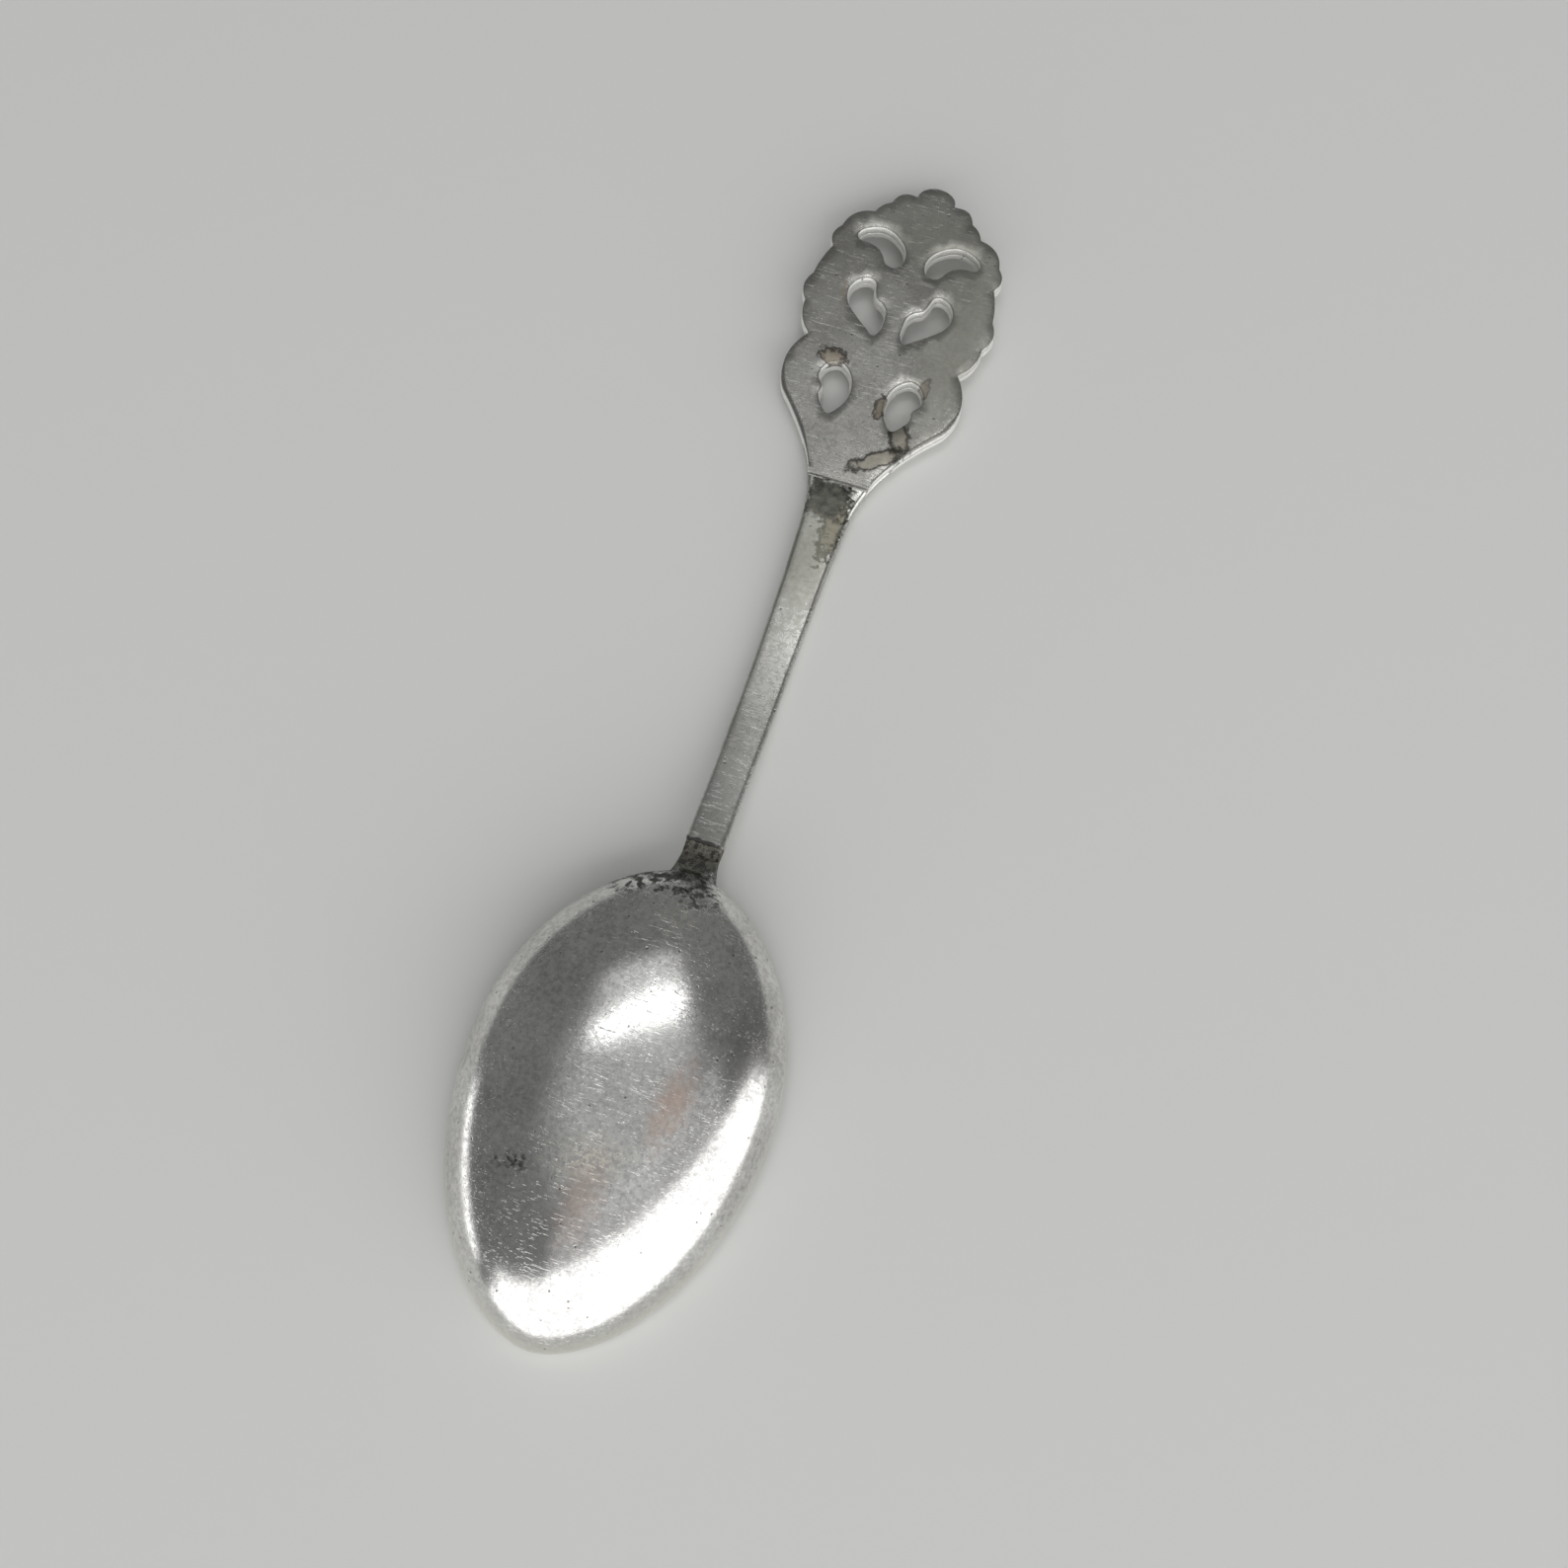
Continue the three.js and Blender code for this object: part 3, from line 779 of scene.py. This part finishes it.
def blot(tree, place, at, size, turn=0.0, edge=0.4, grain=1.2, ragged=2.4, square=False, shift=0.0):
    """A stain with a ragged edge round a place on the spoon: 1 inside, 0 outside."""
    moved = add(tree, "VectorMath", {0: place, 1: (*at, 0)}, operation="SUBTRACT").outputs[0]
    shrink = (1 / size[0], 1 / size[1], 0)
    local = turned(tree, moved, turn)
    local = add(tree, "VectorMath", {0: local, 1: shrink}, operation="MULTIPLY").outputs[0]
    if square:
        local = add(tree, "VectorMath", {0: local}, operation="ABSOLUTE").outputs[0]
        sides = add(tree, "SeparateXYZ", {0: local})
        reach = math_node(tree, "MAXIMUM", sides.outputs["X"], sides.outputs["Y"])
    else:
        reach = add(tree, "VectorMath", {0: local}, operation="LENGTH").outputs["Value"]
    waver = math_node(tree, "SUBTRACT", noise(tree, place, grain, 5.0, 0.6, shift), 0.5)
    return ramp(tree, plus(tree, reach, times(tree, waver, ragged)), 1 + edge, 1 - edge)


def highest(tree, *values):
    result = values[0]
    for value in values[1:]:
        result = math_node(tree, "MAXIMUM", result, value)
    return result


# ---- silver ----

SCRATCH_COLOUR = (0.9, 0.89, 0.87)
PIT_COLOUR = (0.1, 0.09, 0.08)
# Colour of upright faces: a painted highlight, as if window light fell on the walls.
PAINTED_WALL_HIGHLIGHT = (0.93, 0.92, 0.89)
# Each direction of hair scratches: angle, fineness, length, faintest, fullest, shift.
SCRATCHES = (
    (24, 7.0, 2.6, 0.62, 0.72, 1.0),
    (71, 8.0, 2.2, 0.63, 0.73, 9.0),
    (-38, 7.0, 3.0, 0.63, 0.72, 17.0),
    (112, 9.0, 1.8, 0.63, 0.73, 25.0),
)
BLOT_SHAPE = ("at", "size", "turn", "edge", "grain", "ragged", "square")


def mottled(tree, place, fine, light, dark, speckle):
    """Light and dark silver in broad clouds and fine speckle."""
    broad = ramp(tree, noise(tree, place, 0.16, 5.0, 0.6, 7), 0.36, 0.66)
    tone = plus(tree, times(tree, broad, 1 - speckle), times(tree, fine, speckle))
    return mix_colour(tree, tone, light, dark)


def pitting(tree, place):
    """Small round pits in a few cells out of many."""
    cells = add(tree, "TexVoronoi", {"Vector": place, "Scale": 1.2, "Randomness": 1.0})
    chance = add(tree, "SeparateColor", {0: cells.outputs["Color"]}).outputs[0]
    spots = ramp(tree, cells.outputs["Distance"], 0.17, 0.07)
    return times(tree, spots, ramp(tree, chance, 0.74, 0.8))


def lay_stain(tree, place, look, number, stain, region):
    """Works one stain or patch of painted shade into the look's colour, roughness, metal and height, inside
    the region.
    """
    shape = {key: stain[key] for key in BLOT_SHAPE if key in stain}
    mask = blot(tree, place, **shape, shift=31.0 + 5 * number)
    if region:
        mask = times(tree, mask, region)
    if "broken" in stain:
        gaps = noise(tree, place, stain["broken"], 4.0, 0.6, 60.0 + number)
        mask = times(tree, mask, ramp(tree, gaps, 0.44, 0.54))
    rim = times(tree, mask, math_node(tree, "SUBTRACT", 1.0, mask)) if "rim" in stain else None
    mask = times(tree, mask, stain.get("strength", 1.0))
    look["colour"] = mix_colour(tree, mask, look["colour"], stain["colour"])
    look["rough"] = mix_value(tree, mask, look["rough"], stain.get("roughness", 0.5))
    if rim:
        darkness = times(tree, rim, 4 * stain["rim"], clamp=True)
        look["colour"] = mix_colour(tree, darkness, look["colour"], BLACK)
    if "metal" in stain:
        look["metal"] = mix_value(tree, mask, look["metal"], stain["metal"])
    if "lumps" in stain:
        crust = times(tree, mask, noise(tree, place, 3.2, 5.0, 0.65, 40.0 + number))
        look["height"] = plus(tree, look["height"], times(tree, crust, stain["lumps"]))


def silver(name, light, dark, roughness, speckle=0.5, stains=(), low_tarnish_and_reflection=None, torn_walls_painted_lit=False,
           hollow=False):
    """Worn silver: mottled tone, crossing hair scratches, pits, and stains and patches of painted shade at
    given places.

    The low tarnish colour, partly tarnish and partly a painted reflection, goes on the part near the
    surface below and paints the rim's steep wall pale, as if it reflected the bright surface there. The
    walls option makes the upright faces torn and rough and paints them pale, a painted highlight of window
    light falling on them, and hollow keeps the stains off the faces that look down.
    """
    material = bpy.data.materials.new(name)
    material.use_nodes = True
    tree = material.node_tree
    place = millimetres(tree)
    fine = ramp(tree, noise(tree, place, 2.2, 6.0, 0.75, 2), 0.38, 0.66)
    lines = highest(tree, *(scratches(tree, place, *kind) for kind in SCRATCHES))
    pits = pitting(tree, place)
    colour = mottled(tree, place, fine, light, dark, speckle)
    colour = mix_colour(tree, times(tree, lines, 0.4), colour, SCRATCH_COLOUR)
    grain = noise(tree, place, 3.5, 5.0, 0.75, 5)
    height = plus(tree, times(tree, lines, -0.006), times(tree, grain, 0.006))
    # Partly tarnish, partly painted reflection: the low part near the rim is tinted pale, as if it
    # reflected the bright surface below.
    if low_tarnish_and_reflection:
        low = ramp(tree, height_part(tree, place), 3.4, 2.0)
        low = times(tree, low, mix_value(tree, fine, 0.35, 0.8))
        colour = mix_colour(tree, low, colour, low_tarnish_and_reflection)
    # Painted highlight: upright faces are painted pale, as if lit by window light; their tearing and
    # roughness are the walls' own.
    if torn_walls_painted_lit:
        upright = ramp(tree, math_node(tree, "ABSOLUTE", facing_up(tree)), 0.85, 0.4)
        colour = mix_colour(tree, upright, colour, PAINTED_WALL_HIGHLIGHT)
        torn = times(tree, upright, noise(tree, place, 3.0, 4.0, 0.7, 77.0))
        height = plus(tree, height, times(tree, torn, 0.12))
    colour = mix_colour(tree, times(tree, pits, 0.75), colour, PIT_COLOUR)
    height = plus(tree, height, times(tree, pits, -0.012))
    rough = plus(tree, roughness, times(tree, fine, 0.08))
    rough = plus(tree, rough, times(tree, lines, 0.15))
    if torn_walls_painted_lit:
        rough = mix_value(tree, upright, rough, 0.42)
    look = {"colour": colour, "rough": rough, "metal": 1.0, "height": height}
    region = ramp(tree, facing_up(tree), -0.3, -0.1) if hollow else None
    for number, stain in enumerate(stains):
        lay_stain(tree, place, look, number, stain, region)
    if torn_walls_painted_lit:
        look["metal"] = mix_value(tree, upright, look["metal"], 0.6)
    bump = add(tree, "Bump", {"Strength": 1.0, "Distance": MM, "Height": look["height"]})
    shader = tree.nodes["Principled BSDF"]
    tree.links.new(look["colour"], shader.inputs["Base Color"])
    tree.links.new(look["rough"], shader.inputs["Roughness"])
    tree.links.new(bump.outputs[0], shader.inputs["Normal"])
    if isinstance(look["metal"], float):
        shader.inputs["Metallic"].default_value = look["metal"]
    else:
        tree.links.new(look["metal"], shader.inputs["Metallic"])
    return material


# ---- materials of the pieces ----

BLACK = (0.022, 0.021, 0.019)
BROWN = (0.26, 0.2, 0.13)
SAND = (0.32, 0.27, 0.17)
TAN = (0.72, 0.52, 0.42)
# Olive patches are painted shade: darker stretches of the stem and of the finial's edge, where the light
# falls off.
OLIVE_PAINTED_SHADE = (0.36, 0.36, 0.3)
SCUFF = (0.86, 0.81, 0.7)
CRUST = (0.24, 0.23, 0.19)
GREY = (0.25, 0.24, 0.23)
# A stain's place and size are in millimetres, across the spoon and along it.
JOINT_BURN = dict(
    at=(-0.4, 78.0), size=(1.75, 1.8), colour=BLACK, strength=0.97, roughness=0.6, metal=0.3,
    lumps=0.1, grain=1.5, edge=0.16, ragged=1.3, square=True,
)
SCUFFED = dict(turn=-19, colour=SCUFF, grain=3.0, broken=2.6, edge=0.9)
CRUSTED = dict(colour=BLACK, roughness=0.6, metal=0.5, edge=0.35)
WATER_MARK = dict(colour=SAND, strength=0.36, grain=1.3, ragged=1.7, roughness=0.4, rim=0.85)
OVERALL = dict(at=(0, 43), size=(30, 60))


def bowl_material():
    stains = (
        dict(at=(5.2, 21.3), size=(1.1, 2.8), turn=8, colour=TAN, strength=0.55, roughness=0.3, edge=0.8),
        dict(at=(0.8, 12.6), size=(1.3, 3.0), turn=5, colour=TAN, strength=0.4, roughness=0.3, edge=0.9),
        dict(at=(-5.2, 13.3), size=(1.4, 0.7), turn=-10, colour=BLACK, strength=0.85, grain=3.0,
             broken=2.4, edge=0.5),
        dict(at=(9.5, 27.5), size=(1.6, 3.2), colour=GREY, strength=0.6, edge=0.8, roughness=0.3),
        dict(CRUSTED, at=(-2.6, 38.4), size=(4.4, 1.4), turn=-8, strength=0.9, lumps=0.1, grain=1.0,
             broken=1.1),
        dict(CRUSTED, at=(1.3, 37.8), size=(1.7, 1.3), strength=0.85, lumps=0.08, grain=1.5, broken=1.5),
        dict(SCUFFED, at=(0.2, 15.4), size=(2.8, 1.5), strength=0.6, roughness=0.5),
        dict(SCUFFED, at=(0.4, 35.4), size=(1.7, 1.1), strength=0.5, roughness=0.45),
        dict(at=(-0.5, 41.6), size=(3.0, 2.3), colour=BLACK, strength=0.9, roughness=0.36, metal=0.8,
             lumps=0.14, edge=0.3),
        dict(at=(-0.4, 41.4), size=(2.6, 1.7), colour=CRUST, strength=0.6, roughness=0.34, grain=2.0,
             broken=1.8, edge=0.4),
    )
    # The third colour is partly tarnish and partly a painted reflection that paints the rim's low band
    # pale.
    light, dark, rim_tarnish_and_reflection = (0.86, 0.85, 0.83), (0.46, 0.45, 0.44), (0.8, 0.79, 0.71)
    return silver("worn_bowl_silver", light, dark, 0.12, 0.65, stains, rim_tarnish_and_reflection, hollow=True)


def stem_material():
    stains = (
        dict(at=(-0.2, 43.0), size=(2.2, 0.3), colour=BLACK, strength=0.9, roughness=0.6, metal=0.5,
             grain=1.5),
        dict(at=(0.9, 76.0), size=(0.9, 3.4), colour=SAND, strength=0.8, roughness=0.5, grain=2.0,
             rim=1.0, edge=0.45),
        JOINT_BURN,
        # Painted shade: an olive darkening over the stem's stretch before the finial.
        dict(at=(-0.3, 72.3), size=(2.4, 6.3), colour=OLIVE_PAINTED_SHADE, strength=0.6, roughness=0.36, edge=0.7),
    )
    return silver("worn_stem_silver", (0.74, 0.73, 0.7), (0.44, 0.43, 0.4), 0.22, 0.55, stains)


def finial_material():
    stains = (
        dict(WATER_MARK, at=(2.7, 83.1), size=(0.7, 2.5), turn=55, lumps=0.04),
        dict(WATER_MARK, at=(4.1, 86.0), size=(0.8, 1.5), turn=-20),
        dict(at=(-4.4, 92.1), size=(1.2, 0.8), colour=BROWN, strength=0.6, grain=2.0, roughness=0.5,
             rim=0.8),
        dict(at=(4.8, 91.2), size=(0.45, 1.1), turn=12, colour=BROWN, strength=0.5, grain=1.6,
             roughness=0.5, rim=0.6),
        dict(at=(1.5, 88.4), size=(0.5, 1.1), colour=BROWN, strength=0.6, grain=2.0, roughness=0.5,
             rim=0.8),
        dict(at=(-5.5, 98.8), size=(0.3, 1.5), turn=-12, colour=BROWN, strength=0.5, grain=1.6,
             roughness=0.4, broken=1.6, edge=0.7),
        # Painted shade: olive darkening along the finial's right edge and near its tip, as a slightly domed
        # plate would shade.
        dict(at=(6.4, 97.0), size=(2.6, 8.0), colour=OLIVE_PAINTED_SHADE, strength=0.5, edge=0.9, roughness=0.42),
        dict(at=(1.0, 107.0), size=(5.0, 3.0), colour=OLIVE_PAINTED_SHADE, strength=0.35, edge=0.9, roughness=0.42),
        JOINT_BURN,
    )
    # Painted shade: the finial's silver tones are darker than the bowl's, standing in for the darker
    # reflection it shows.
    light, dark = (0.52, 0.51, 0.48), (0.3, 0.29, 0.27)
    return silver("finial_silver_painted_dark", light, dark, 0.22, 0.5, stains, torn_walls_painted_lit=True)


def relief_material():
    return silver("struck_relief_silver", (0.76, 0.75, 0.72), (0.36, 0.35, 0.32), 0.3, torn_walls_painted_lit=True)


def bowl_solder_material():
    stains = (
        dict(OVERALL, colour=BLACK, strength=0.85, roughness=0.38, metal=0.8, lumps=0.12),
        dict(OVERALL, colour=CRUST, strength=0.6, roughness=0.34, broken=1.8),
    )
    return silver("blackened_solder", (0.3, 0.28, 0.25), (0.14, 0.13, 0.11), 0.5, 0.5, stains)


def finial_solder_material():
    light, dark = (0.7, 0.69, 0.66), (0.42, 0.41, 0.38)
    return silver("seam_solder", light, dark, 0.3, 0.5, (JOINT_BURN,))


# ---- pieces ----


def build_bowl():
    bowl = make_piece("bowl_fine", *bowl_shell(), "bowl", "bowl_silver", bowl_material())
    fuse(bowl, *bowl_neck())


def build_stem():
    make_piece("stem_fine", *stem_shape(), "stem", "stem_silver", stem_material())


def build_solder():
    bead = bowl_solder_material()
    seam = finial_solder_material()
    make_piece("bowl_solder_fine", *bowl_solder_shape(), "bowl_joint_solder", "solder", bead)
    make_piece("finial_solder_fine", *finial_solder_shape(), "finial_joint_solder", "solder", seam)


def build_finial_back():
    start = SOLDER_FILM + GAP
    loops = [finial_outline(start), *finial_holes()]
    points, faces = plate_shape(loops, start, 0, -LAYER, (0.2, 0.42), (0.06, 0.2))
    make_piece("finial_back_fine", on_finial(points), faces, "finial_back_plate", "finial_silver",
               finial_material())


def build_finial_relief():
    start = FINIAL_LAP_LENGTH + GAP
    loops = [finial_outline(start), *finial_holes()]
    top = -LAYER - GAP
    points, faces = plate_shape(loops, start, top, top - LAYER, (0.1, 0.3), (0.15, 0.3), 0.24,
                                lambda face: finial_relief(face, loops))
    make_piece("finial_relief_fine", on_finial(points), faces, "finial_front_relief", "relief_silver",
               relief_material())


# ---- floor, light and camera ----


def floor():
    reach = 1.5
    corners = [(-reach, -reach, 0), (reach, -reach, 0), (reach, reach, 0), (-reach, reach, 0)]
    mesh = bpy.data.meshes.new("floor")
    mesh.from_pydata(corners, [], [(0, 1, 2, 3)])
    plane = bpy.data.objects.new("floor", mesh)
    bpy.context.collection.objects.link(plane)
    material = bpy.data.materials.new("pale_floor")
    material.use_nodes = True
    shader = material.node_tree.nodes["Principled BSDF"]
    shader.inputs["Base Color"].default_value = (0.82, 0.82, 0.8, 1)
    shader.inputs["Roughness"].default_value = 0.9
    mesh.materials.append(material)


def direction(azimuth, elevation):
    """Unit vector towards a bearing clockwise from +Y and a height above the horizon, in degrees."""
    a, e = math.radians(azimuth), math.radians(elevation)
    return Vector((math.sin(a) * math.cos(e), math.cos(a) * math.cos(e), math.sin(e)))


def area_light(name, azimuth, elevation, distance, width, height, brightness, roll=0, upright=False):
    """A rectangle of light round the bowl, facing it or standing upright like a window."""
    data = bpy.data.lights.new(name, "AREA")
    data.shape = "RECTANGLE"
    data.size, data.size_y = width, height
    data.energy = brightness * math.pi * width * height
    light = bpy.data.objects.new(name, data)
    toward = direction(azimuth, elevation)
    light.location = toward * distance + Vector((0, (TIP_Y + BOWL_WIDEST) * MM, 0))
    away = direction(azimuth, 0) if upright else toward
    facing = away.to_track_quat("Z", "Y").to_matrix()
    light.rotation_euler = (facing @ Matrix.Rotation(math.radians(roll), 3, "Z")).to_euler()
    bpy.context.collection.objects.link(light)


def lights():
    """A wide window past the bowl's tip, a narrow gap on the left, and a strip of ceiling light."""
    area_light("window", 145.5, 34.5, 1.1, 5.5, 1.24, 1.65, upright=True)
    area_light("window_glow", 135, 62, 0.8, 1.0, 0.34, 0.3)
    area_light("left_gap", -115, 5, 0.8, 0.5, 0.12, 1.6)
    area_light("overhead_strip", -17, 76, 0.93, 0.5, 0.07, 4.6, roll=14)
    area_light("overhead_glow", -20, 64.5, 1.0, 0.56, 0.15, 0.45, roll=7)


def studio():
    """A dim room with a paler ceiling."""
    world = bpy.data.worlds.new("studio")
    bpy.context.scene.world = world
    world.use_nodes = True
    tree = world.node_tree
    up = height_part(tree, add(tree, "TexCoord").outputs["Generated"])
    inputs = {"Value": up, "From Min": 0.86, "From Max": 0.97, "To Min": 0.18, "To Max": 0.44}
    glow = add(tree, "MapRange", inputs, interpolation_type="SMOOTHSTEP").outputs[0]
    background = tree.nodes["Background"]
    background.inputs["Color"].default_value = (0.98, 1, 1, 1)
    tree.links.new(glow, background.inputs["Strength"])
    bpy.context.scene.view_settings.view_transform = "Standard"


def camera():
    """Looks down at the spoon's back from the bowl's end, a little to the right."""
    turn, lean = math.radians(18.5), math.radians(17.06)
    half_view_tangent = 794 / 1590
    data = bpy.data.cameras.new("camera")
    data.sensor_width = 36
    data.lens = data.sensor_width / 2 / half_view_tangent
    data.clip_start, data.clip_end = 0.01, 10
    cam = bpy.data.objects.new("camera", data)
    cam.location = Vector((17.33, -43.76, 132.65)) * MM
    cam.rotation_euler = (Matrix.Rotation(turn, 4, "Z") @ Matrix.Rotation(lean, 4, "X")).to_euler()
    bpy.context.collection.objects.link(cam)
    bpy.context.scene.camera = cam


camera()
build_bowl()
build_stem()
build_solder()
build_finial_back()
build_finial_relief()
floor()
lights()
studio()
